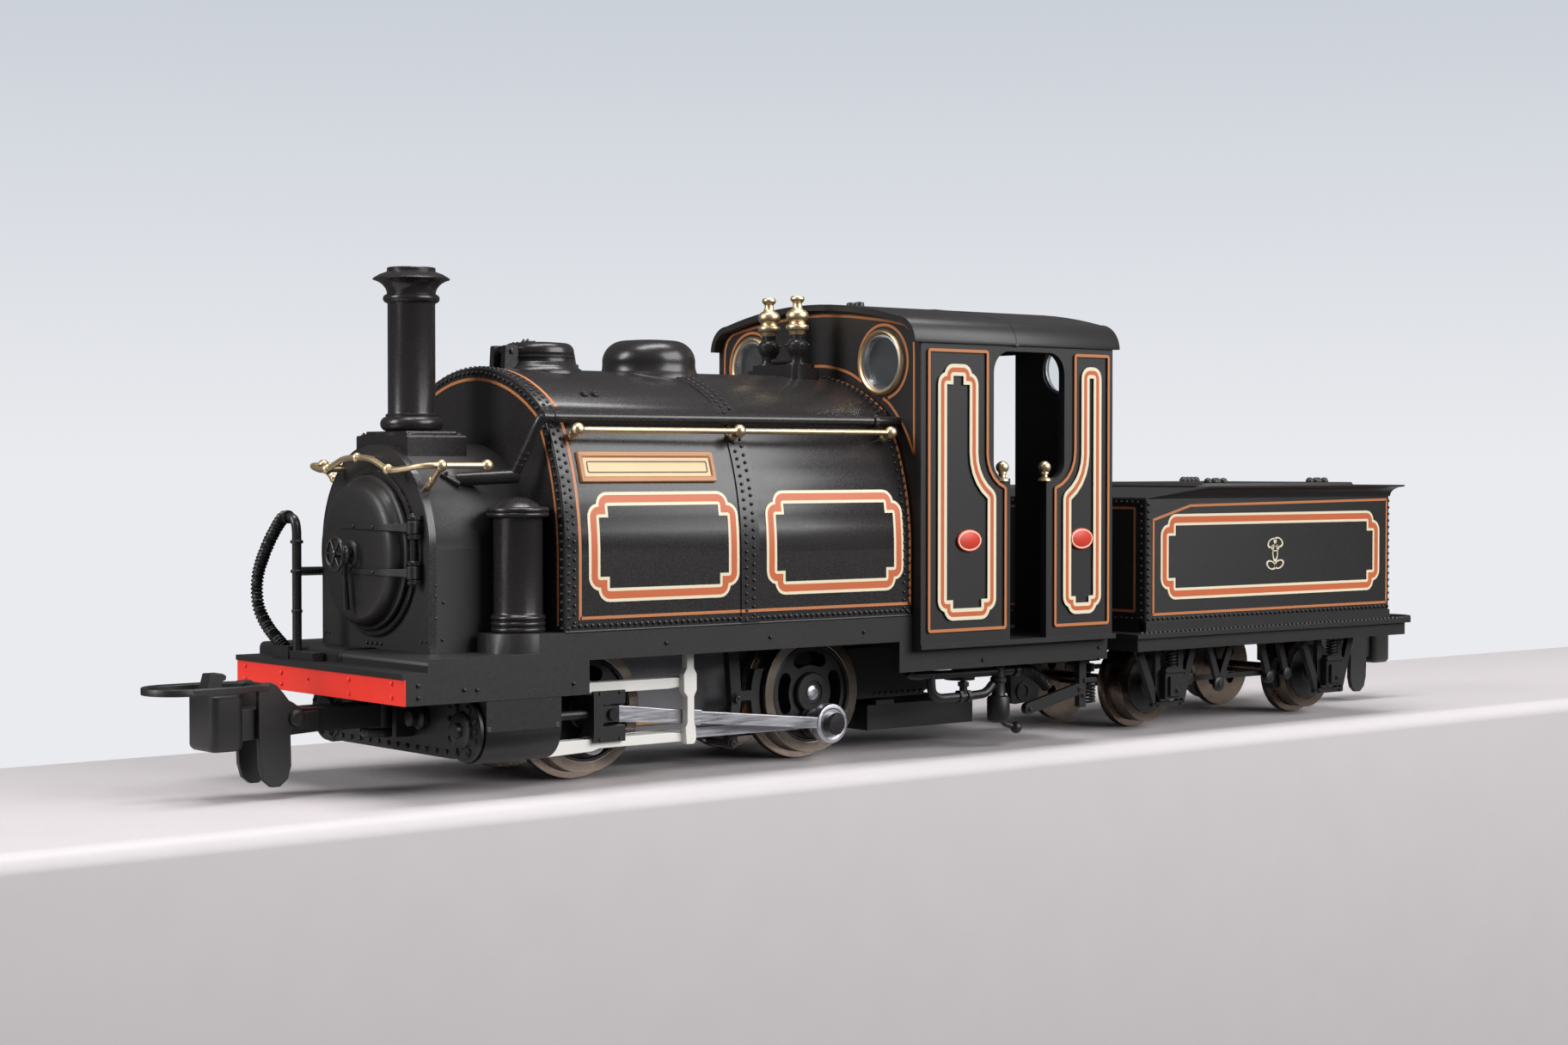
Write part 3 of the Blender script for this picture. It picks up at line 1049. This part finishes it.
def cab_lining():
    """Bands and borders on the side sheets, lines on the front sheet, and the blank oval plates."""
    cream, orange, thin = Shape(), Shape(), Shape()
    low, high = 10.3, 27.1
    for side in SIDES:
        place = on_side(CAB_HW, side)
        # front panel with notched corners, rear panel with a round top; both widen below the waist
        high_u, low_u = shoulder(-19.83, -21.65, 18.2, 4.0)
        inner = [(-21.65, low, "notch", 0.62), (-17.58, low, "notch", 0.62), (-17.58, high, "notch", 0.62),
                 (-19.83, high, "notch", 0.62), high_u, low_u]
        band(cream, orange, inner, place, 0.86, 0.26)
        high_u, low_u = shoulder(-32.26, -30.33, 18.05, 4.0)
        inner = [(-32.72, low, "notch", 0.5), (-30.33, low, "notch", 0.5), low_u, high_u,
                 (-32.26, high + 0.1, "round", 0.03), (-32.72, high + 0.1, "round", 0.03)]
        band(cream, orange, inner, place, 0.84, 0.26)
        high_u, low_u = shoulder(-21.53, -23.37, 18.92, 2.71)
        front = [(-23.37, 8.85, "round", 0.05), (-15.97, 8.85, "round", 0.05), (-15.97, 28.81, "round", 0.05),
                 (-21.53, 28.81, "round", 0.05), high_u, low_u]
        high_u, low_u = shoulder(-30.87, -28.78, 18.88, 2.91)
        rear = [(-34.24, 8.78, "round", 0.05), (-28.78, 8.78, "round", 0.05), low_u, high_u,
                (-30.87, 28.79, "round", 0.05), (-34.24, 28.79, "round", 0.05)]
        for outline in (front, rear):
            strip(thin, offset_outline(outline, 0), offset_outline(outline, 0.22), place)
    # front sheet: a line under the roof, round the windows and down along the tank
    x = CAB_X[1]
    under_roof = [(-10.95, 21.4), (-10.95, 28.6), (-10.9, 29.6), (-10.6, 30.3), (-10.0, 30.75), (-8.5, 31.05),
                  (-6.99, 31.25), (-4.0, 31.6), (-1.2, 31.78), (1.2, 31.78), (4.0, 31.6), (6.99, 31.25), (8.5, 31.05),
                  (10.0, 30.75), (10.6, 30.3), (10.9, 29.6), (10.95, 28.6), (10.95, 21.4)]
    thin.stripe([(x, y, z) for y, z in under_roof], [AHEAD] * len(under_roof), 0.2)
    over_tank = [(-5.3, 26.75), (-4.0, 27.4), (-2.0, 27.9), (0, 28.05), (2.0, 27.9), (4.0, 27.4), (5.3, 26.75)]
    over_tank = eased(over_tank, 3)
    thin.stripe([(x, y, z) for y, z in over_tank], [AHEAD] * len(over_tank), 0.2)
    for side in SIDES:
        ring = arc(7.6, 28.15, 2.68, -78, 204, 40)
        thin.stripe([(x, side * y, z) for y, z in ring], [AHEAD] * len(ring), 0.2)
        tail = eased([(10.95, 21.4), (10.2, 22.9), (9.3, 24.1), (8.3, 25.1), (7.6, 25.5)], 3)
        thin.stripe([(x, side * y, z) for y, z in tail], [AHEAD] * len(tail), 0.2)
    cream.piece("cab_bands_cream", "engine", "cream")
    orange.piece("cab_bands_orange", "engine", "orange")
    thin.piece("cab_borders", "engine", "thin_orange")
    # small oval plates, left blank
    plates, rims = Shape(), Shape()
    for side in SIDES:
        for px, pz in ((-19.83, 15.19), (-31.47, 15.12)):
            def oval(inset):
                return [(px + (1.2 - inset) * math.cos(t), pz + (0.8 - inset) * math.sin(t)) for t in turns(32)]

            plates.skin([[(u, side * (CAB_HW + h), v) for u, v in oval(inset)]
                         for inset, h in ((0, -0.05), (0, 0.05), (0.03, 0.07))])
            strip(rims, oval(0.17), oval(0.08), on_side(CAB_HW + 0.06, side), lift=0.02)
    plates.piece("works_plates", "engine", "plate_red")
    rims.piece("works_plate_rims", "engine", "cream")


def roof_details():
    """A seam across the roof, following its curve, and the three-part whistle valve cover."""
    shape = Shape()
    hw, eave, top, crown_r = 11.85, 2.0, 32.6, 41.3
    section = [(-hw, 29.45)] + arc(eave - hw, 29.4, eave, 180, 122, 6)
    crown = [(y, top - crown_r + math.sqrt(crown_r ** 2 - y * y)) for y in (-9.2, -6, -3, 0, 3, 6, 9.2)]
    section += crown + [(-y, z) for y, z in section[::-1]]
    normals = [(0, y / 14, 1) if abs(y) < 9.5 else (0, math.copysign(1, y), 0.3) for y, z in section]
    shape.stripe([(-24.6, y, z) for y, z in section], normals, 0.12, lift=0.03)
    for x, y, r in ((-19.0, 0.6, 0.38), (-19.0, -0.4, 0.34), (-19.4, 0.1, 0.3)):
        shape.lathe([(0, 32.3), (r, 32.3), (r, 32.75), (r * 0.8, 32.95), (0, 33.0)], (x, y, 0), steps=16)
    shape.piece("roof_seam", "engine", "satin_black")


# ------------------------------------------------------------ tender
BODY_X, BODY_HW, BODY_Z = (-70.5, -40.1), 10.4, (8.3, 18.0)


def tender_body():
    """Sheets, flared coping and coal plate."""
    x0, x1 = BODY_X
    low, high = BODY_Z
    # side, front and rear sheets as one box, open at the top and the foot
    shape = Shape()
    ring = rounded(rectangle(BODY_X, (-BODY_HW, BODY_HW)), 0.25, 3)
    inner = rounded(rectangle((x0 + 0.7, x1 - 0.7), (-BODY_HW + 0.7, BODY_HW - 0.7)), 0.2, 3)
    shape.stack(((ring, low), (ring, high), (inner, high), (inner, low)), loop=True)
    shape.piece("tender_sheets", "tender", "satin_black", "tender_body", bevel=0.04)
    # flared coping: a hollow curve outwards, lower at the front, round three sides
    shape = Shape()
    flare = [(-0.3, 0.0), (0.02, 0.0), (0.08, 0.3), (0.25, 0.55), (0.55, 0.75), (0.95, 0.82), (0.98, 0.96),
             (-0.3, 0.96)]
    # each station: x, the lean rearwards and outwards, and the share of the flare's width and height
    stations = ((-40.4, 0, 1, 0.15, 0.1), (-46.6, 0, 1, 1, 1), (-55.0, 0, 1, 1, 1), (x0, 0, 1, 1, 1),
                (x0, -0.92, 0.92, 1, 1), (x0, -1, 0, 1, 1))
    halves = [[[(x + back * d * wide, side * (BODY_HW + out * d * wide), high + h * tall) for d, h in flare]
               for x, back, out, wide, tall in stations] for side in SIDES]
    shape.skin(halves[0] + halves[1][::-1])
    shape.piece("tender_coping", "tender", "satin_black", "tender_body")
    # top plates and the rows of bumps on them
    shape = Shape()
    shape.slab((-69.9, -46.8), (-10.2, 10.2), 0.3, (18.2, 18.85), "z")
    shape.skin([[(-46.9, y, 18.85) for y in (-10.2, 10.2)] + [(-46.9, y, 18.3) for y in (10.2, -10.2)],
                [(-40.3, y, 18.1) for y in (-10.2, 10.2)] + [(-40.3, y, 17.7) for y in (10.2, -10.2)]])
    raised = rounded(rectangle((-68.2, -48.2), (-8.6, 8.6)), 0.5)
    smaller = rounded(rectangle((-68.1, -48.8), (-8.5, 8.5)), 0.5)
    shape.stack(((raised, 18.6), (raised, 18.95), (smaller, 19.2)))
    for x in (-52.0, -64.9):
        for k in range(4):
            shape.ball((x + 0.55 * (k - 1.5), 7.2 - 0.2 * (k % 2), 19.25), 0.36, 10)
            shape.ball((x + 0.55 * (k - 1.5), -7.2, 19.25), 0.36, 10)
    shape.piece("tender_top_plates", "tender", "satin_black", "tender_coal_plate", bevel=0.04)


def tender_rivets():
    """Rows of rivets along the sheets, and bolts on the step round them."""
    shape = Shape()
    x0, x1 = BODY_X
    ends = ((x1, 1), (x0, -1))
    for side in SIDES:
        y, out = side * BODY_HW, (0, side, 0)
        shape.rivet_row((x0 + 0.3, y, 8.62), ((x1 - x0 - 0.6) / 53, 0, 0), 54, out, 0.14)
        for x in (x0 + 0.25, x1 - 0.28):
            shape.rivet_row((x, y, 9.2), (0, 0, 0.56), 16, out, 0.14)
        for x, facing in ends:
            shape.rivet_row((x, side * 9.9, 8.7), (0, 0, 0.58), 16, (facing, 0, 0), 0.14)
        shape.rivet_row((x0 - 0.6, side * (BODY_HW + 0.25), 7.55), (0.52, 0, 0), 62, UP, 0.15)
        shape.box((x0, x1), (y - 0.25, y + 0.05), (7.55, 8.35))
    for x, facing in ends:
        for z in (8.62, 17.75):
            shape.rivet_row((x, -9.6, z), (0, 0.58, 0), 34, (facing, 0, 0))
    shape.rivet_row((x0 - 0.9, -10.2, 7.55), (0, 0.52, 0), 40, UP, 0.15)
    shape.piece("tender_rivets", "tender", "satin_black")


def tender_lining():
    """Bands and borders, and a small flourish of loops with no letters in it."""
    cream, orange, thin = Shape(), Shape(), Shape()
    for side in SIDES:
        place = on_side(BODY_HW, side)
        inner = [(-68.17, 10.97, "notch", 0.8), (-42.66, 10.97, "notch", 0.8), (-42.66, 15.9, "notch", 0.8),
                 (-68.17, 15.9, "notch", 0.8)]
        band(cream, orange, inner, place)
        fine_line(thin, [(-70.12, 8.87), (-40.82, 8.87), (-40.82, 16.45), (-45.2, 17.55), (-70.12, 17.82)], place)
        for u, v, a, b, tilt in ((-55.9, 14.35, 0.62, 0.4, 20), (-55.1, 14.3, 0.6, 0.36, -25),
                                 (-55.5, 13.5, 0.34, 0.75, 0), (-56.0, 12.55, 0.62, 0.36, -18),
                                 (-55.0, 12.5, 0.62, 0.36, 18), (-55.5, 13.9, 0.5, 0.3, 0)):
            s, c = math.sin(math.radians(tilt)), math.cos(math.radians(tilt))
            hollow, outer = ([(u + k * (a * math.cos(t) * c - b * math.sin(t) * s),
                               v + k * (a * math.cos(t) * s + b * math.sin(t) * c)) for t in turns(22)]
                             for k in (0.72, 1.0))
            strip(cream, hollow, outer, place, lift=0.04)
    for x, facing in ((BODY_X[1], 1), (BODY_X[0], -1)):
        fine_line(thin, rectangle((-9.3, 9.3), (9.11, 17.39)), lambda u, v, lift: (x + facing * lift, u, v))
    cream.piece("tender_bands_cream", "tender", "cream")
    orange.piece("tender_bands_orange", "tender", "orange")
    thin.piece("tender_borders", "tender", "thin_orange")


TENDER_AXLES, TENDER_WHEEL_R = (-45.2, -65.2), 3.0


def link(shape, a, b, half_width, reach):
    """A flat bar from a to b."""
    along = (Vector(b) - Vector(a)).normalized()
    across = Vector((-along.y, along.x)) * half_width
    shape.prism([tuple(Vector(p) + s * across) for p, s in ((a, -1), (a, 1), (b, 1), (b, -1))], reach)


def tender_running_gear():
    """Axleguards with springs, axleboxes and bolts, the V hangers, the brake gear and the wheel faces."""
    shape = Shape()
    for side in SIDES:
        out = (0, side, 0)
        for axle in TENDER_AXLES:
            # splayed legs of the axleguard, foot tie and spring plates
            front, rear, guard = axle + 3.9, axle - 2.7, outward(side, 8.1, 8.55)
            for leg in ([(front - 0.35, 6.4), (front + 0.35, 6.4), (axle + 2.15, 1.65), (axle + 1.35, 1.65)],
                        [(rear - 0.35, 6.4), (rear + 0.4, 6.4), (axle - 0.75, 1.65), (axle - 1.45, 1.65)]):
                shape.prism(rounded(leg, 0.15), guard)
            shape.slab((axle - 1.5, axle + 2.2), (1.4, 1.8), 0.15, guard)
            for dx in (-1.0, 1.65):
                shape.slab((axle + dx - 0.3, axle + dx + 0.3), (1.8, 6.4), 0.08, guard)
                shape.bolt((axle + dx, side * 8.55, 1.6), out, 0.16, 0.1)
            # axlebox with a stepped cover and one bolt, and the spring over it
            shape.prism(rounded([(axle - 0.75, 2.05), (axle + 1.45, 2.05), (axle + 1.45, 4.35), (axle + 1.15, 4.6),
                                 (axle - 0.45, 4.6), (axle - 0.75, 4.35)], 0.12), outward(side, 8.2, 9.15))
            shape.slab((axle - 0.4, axle + 1.1), (2.3, 3.9), 0.15, outward(side, 9.1, 9.4))
            shape.slab((axle - 0.8, axle + 1.5), (4.15, 4.35), 0.06, outward(side, 8.2, 9.3))
            x, y = axle + 0.35, side * 8.75
            shape.bolt((x, side * 9.4, 2.75), out, 0.2, 0.12)
            coil = [(x + 0.4 * math.cos(t), y + 0.34 * math.sin(t), 4.6 + 1.6 * i / 84)
                    for i, t in enumerate(turns(84, 0, 360 * 6, False))]
            shape.tube(coil, 0.11, 8)
            shape.rod((x, y, 4.5), (x, y, 6.3), 0.2, 12)
            shape.bolt((front, side * 8.55, 5.6), out, 0.2, 0.12)
        # V hanger and brake links
        for top in ((-49.4, 6.2), (-52.2, 6.2)):
            link(shape, top, (-50.7, 2.95), 0.3, outward(side, 8.4, 8.75))
        shape.lathe([(0, 0), (0.55, 0), (0.6, 0.06), (0.6, 0.34), (0.52, 0.4), (0.3, 0.42), (0.28, 0.52), (0, 0.54)],
                    (-50.7, side * 8.38, 2.9), out, 24)
        for a, b in (((-47.3, 6.3), (-48.3, 3.4)), ((-57.2, 6.3), (-58.3, 3.0)), ((-59.6, 6.2), (-60.5, 3.2))):
            link(shape, a, b, 0.32, outward(side, 7.2, 7.55))
            shape.lathe([(0, 0), (0.5, 0), (0.5, 0.5), (0.3, 0.56), (0, 0.56)], (b[0], side * 7.15, b[1]), out, 20)
        shape.slab((-60.3, -48.2), (3.1, 3.5), 0.1, outward(side, 6.6, 6.9))
        # brake blocks against the wheels
        for axle, middle in zip(TENDER_AXLES, (180, 0)):
            block = arc(axle, TENDER_WHEEL_R, 3.15, middle - 25, middle + 25, 6)
            block += arc(axle, TENDER_WHEEL_R, 3.8, middle + 20, middle - 20, 6)
            shape.prism(block, outward(side, 4.2, 5.2))
    shape.piece("tender_ironwork", "tender", "chassis_black", "tender_axleguards", bevel=0.03)
    for node, axle in zip(("tender_front_wheels", "tender_rear_wheels"), TENDER_AXLES):
        face = Shape()
        for side in SIDES:
            face.lathe([(0, 0), (2.3, 0), (2.3, 0.05), (2.1, 0.12), (0.9, 0.12), (0.75, 0.3), (0.3, 0.34), (0, 0.34)],
                       (axle, side * 5.88, TENDER_WHEEL_R), (0, side, 0), 48)
        face.piece(node + "_faces", node, "chassis_black")


# ------------------------------------------------------------ couplers
def coupler(end, beam, pivot, facing):
    """A hook with its head block, and the loop with its counterweights. Outlines run d mm out from the beam."""
    def from_beam(outline):
        return [(beam + facing * d, v) for d, v in outline]

    def head(inset):
        x = sorted(beam + facing * d for d in (6.0 + inset, 8.3 - inset))
        return rounded(rectangle(x, (-1.75 + inset, 1.75 - inset)), 0.55 - inset, 5)

    shape = Shape()
    shape.stack([(head(inset), z) for z, inset in ((2.75, 0.25), (2.95, 0.05), (3.1, 0.0), (6.2, 0.0), (6.3, 0.08))])
    hook = [(8.1, 6.1), (7.95, 6.9), (7.75, 7.6), (6.95, 7.6), (6.7, 7.45), (6.72, 7.2), (7.0, 7.1), (7.05, 6.1)]
    shape.prism(rounded(from_beam(hook), 0.08), (-0.6, 0.6))
    shape.prism(from_beam(((6.1, 3.3), (6.1, 5.3), (0.4, 5.1), (0.4, 3.6))), (-1.15, 1.15))
    shape.box(sorted((beam + facing * 0.5, pivot)), (-1.3, 1.3), (3.6, 5.1))
    shape.lathe([(0, 3.5), (1.35, 3.5), (1.4, 3.6), (1.4, 5.1), (1.3, 5.2), (0, 5.2)], (pivot, 0, 0), steps=32)
    shape.rod((beam + facing * 3.0, -1.2, 4.36), (beam + facing * 3.0, 1.2, 4.36), 0.32, 16)
    for side in SIDES:
        cheek = from_beam(((0.6, 3.7), (2.4, 3.9), (2.4, 4.9), (0.6, 5.0)))
        shape.prism(rounded(cheek, 0.1), outward(side, 1.1, 1.5))
    shape.piece(end + "_coupler_moulded", end + "_coupler", "chassis_black", end + "_coupler", bevel=0.06)
    loop = Shape()
    weight = from_beam(((5.0, 6.9), (4.1, 6.95), (3.7, 6.75), (3.2, 6.2), (2.85, 5.75), (2.55, 5.6), (1.9, 5.15),
                        (1.75, 4.7), (1.95, 4.2), (2.6, 3.85), (2.75, 3.6), (2.7, 1.6), (2.95, 0.75), (3.5, 0.3),
                        (4.1, 0.3), (4.65, 0.75), (4.9, 1.6), (5.0, 4.0)))
    for side in SIDES:
        loop.prism(rounded(weight, 0.15, 3), outward(side, 1.2, 1.62))
        loop.lathe([(0, 0), (0.52, 0), (0.55, 0.05), (0.55, 0.2), (0.45, 0.28), (0.22, 0.3), (0, 0.24)],
                   (beam + facing * 2.35, side * 1.6, 4.62), (0, side, 0), 24)
    tip, wide = 9.7, 2.3
    outer = from_beam([(4.2, -1.62), (5.2, -1.75), (6.3, -2.3), (tip, -wide), *arc(tip, 0, wide, -80, 80, 10),
                       (tip, wide), (6.3, 2.3), (5.2, 1.75), (4.2, 1.62)])
    inner = from_beam([(4.6, -1.1), (5.4, -1.2), (6.4, -1.85), (tip, 0.45 - wide),
                       *arc(tip, 0, wide - 0.42, -80, 80, 10), (tip, wide - 0.45), (6.4, 1.85), (5.4, 1.2), (4.6, 1.1)])
    crest = [(0.85 * a[0] + 0.15 * b[0], 0.85 * a[1] + 0.15 * b[1]) for a, b in zip(outer, inner)]
    loop.stack(((outer, 6.42), (outer, 6.82), (crest, 6.9), (inner, 6.82), (inner, 6.42)), loop=True)
    loop.piece(end + "_coupler_loop_pressed", end + "_loop", "chassis_black", end + "_coupler_loop", bevel=0.05)


smokebox_front()
door()
chimney()
filler_and_dome()
tank_fittings()
nameplates()
safety_valves()
handrails()
tank_pipes()
front_pots()
vacuum_gear()
deck_details()
cylinder_details()
slide_bars()
connecting_rod("connecting_rod_left", 1, True)
connecting_rod("connecting_rod_right", -1, False)
wheel_details()
crosshead_details()
brake_details()
injector_pipes()
cab_openings_trim()
cab_lining()
roof_details()
tender_body()
tender_rivets()
tender_lining()
tender_running_gear()
coupler("front", BEAM_X, 22.5, 1)
coupler("rear", span("tender_footplate", 0)[0] - 1.5, -67.8, -1)


# ------------------------------------------------------------ floor, light and camera
def floor():
    """A pale plinth under the train, with eased edges."""
    shape = Shape()
    near, far, depth, half_length = 13.0, -27.0, 60.0, 450.0
    outline = rounded([(far, -FLANGE), (far, -depth), (near, -depth), (near, -FLANGE)], 1.2)
    shape.prism(outline, (-half_length, half_length), "x")
    mesh = bpy.data.meshes.new("floor")
    for vert in shape.bm.verts:
        vert.co = DATUM + vert.co * MM
    bmesh.ops.recalc_face_normals(shape.bm, faces=shape.bm.faces)
    shape.bm.to_mesh(mesh)
    obj = bpy.data.objects.new("floor", mesh)
    bpy.context.scene.collection.objects.link(obj)
    mesh.materials.append(surface("floor", (0.56, 0.525, 0.535), 0.5, mottle=0.03, grain=3000, bump=0.02))
    smooth(mesh, 38)


def softbox(name, place, size, power):
    """A rectangular studio light, in metres, aimed at the middle of the train."""
    data = bpy.data.lights.new(name, "AREA")
    data.shape = "RECTANGLE"
    data.size, data.size_y = size
    data.energy = power
    obj = bpy.data.objects.new(name, data)
    bpy.context.scene.collection.objects.link(obj)
    obj.location = place
    obj.rotation_euler = (Vector((0, 0, 0.015)) - Vector(place)).to_track_quat("-Z", "Y").to_euler()


def studio():
    """A bright bluish backdrop for the camera and for what is seen through glass, a dim world for the rest."""
    world = bpy.data.worlds.new("studio")
    bpy.context.scene.world = world
    bpy.context.scene.view_settings.view_transform = "Standard"
    world.use_nodes = True
    tree = world.node_tree
    dim, out = tree.nodes["Background"], tree.nodes["World Output"]
    dim.inputs["Color"].default_value = (0.60, 0.62, 0.66, 1)
    dim.inputs["Strength"].default_value = 0.16
    seen, mix, path = (add_node(tree, kind) for kind in ("Background", "MixShader", "LightPath"))
    coords, split, ramp = (add_node(tree, kind) for kind in ("TexCoord", "SeparateXYZ", "ValToRGB"))
    for stop, place, colour in zip(ramp.color_ramp.elements, (0.0, 0.19),
                                   ((0.82, 0.83, 0.86, 1), (0.575, 0.615, 0.68, 1))):
        stop.position, stop.color = place, colour
    direct = add_node(tree, "Math")
    direct.operation = "MAXIMUM"
    join(tree, (coords, "Generated", split, "Vector"), (split, "Z", ramp, "Fac"), (ramp, "Color", seen, "Color"),
         (path, "Is Camera Ray", direct, 0), (path, "Is Transmission Ray", direct, 1), (direct, "Value", mix, "Fac"),
         (dim, "Background", mix, 1), (seen, "Background", mix, 2), (mix, "Shader", out, "Surface"))
    softbox("key", (-0.25, 0.50, 0.30), (0.55, 0.40), 4.6)
    softbox("top", (0.0, 0.05, 0.60), (0.55, 0.18), 3.4)
    softbox("left", (0.50, -0.12, 0.25), (0.16, 0.30), 1.9)


def camera():
    """The photo's view: from the front left, just above the deck."""
    yaw, pitch = math.radians(50.55), math.radians(1.31)
    look = Vector((-math.cos(yaw) * math.cos(pitch), -math.sin(yaw) * math.cos(pitch), -math.sin(pitch)))
    data = bpy.data.cameras.new("camera")
    data.lens = 59.5
    data.sensor_width = 36
    data.clip_start = 0.001
    obj = bpy.data.objects.new("camera", data)
    bpy.context.scene.collection.objects.link(obj)
    obj.location = DATUM + Vector((109.9, 148.3, 20.8)) * MM
    obj.rotation_euler = look.to_track_quat("-Z", "Y").to_euler()
    bpy.context.scene.camera = obj


floor()
studio()
camera()
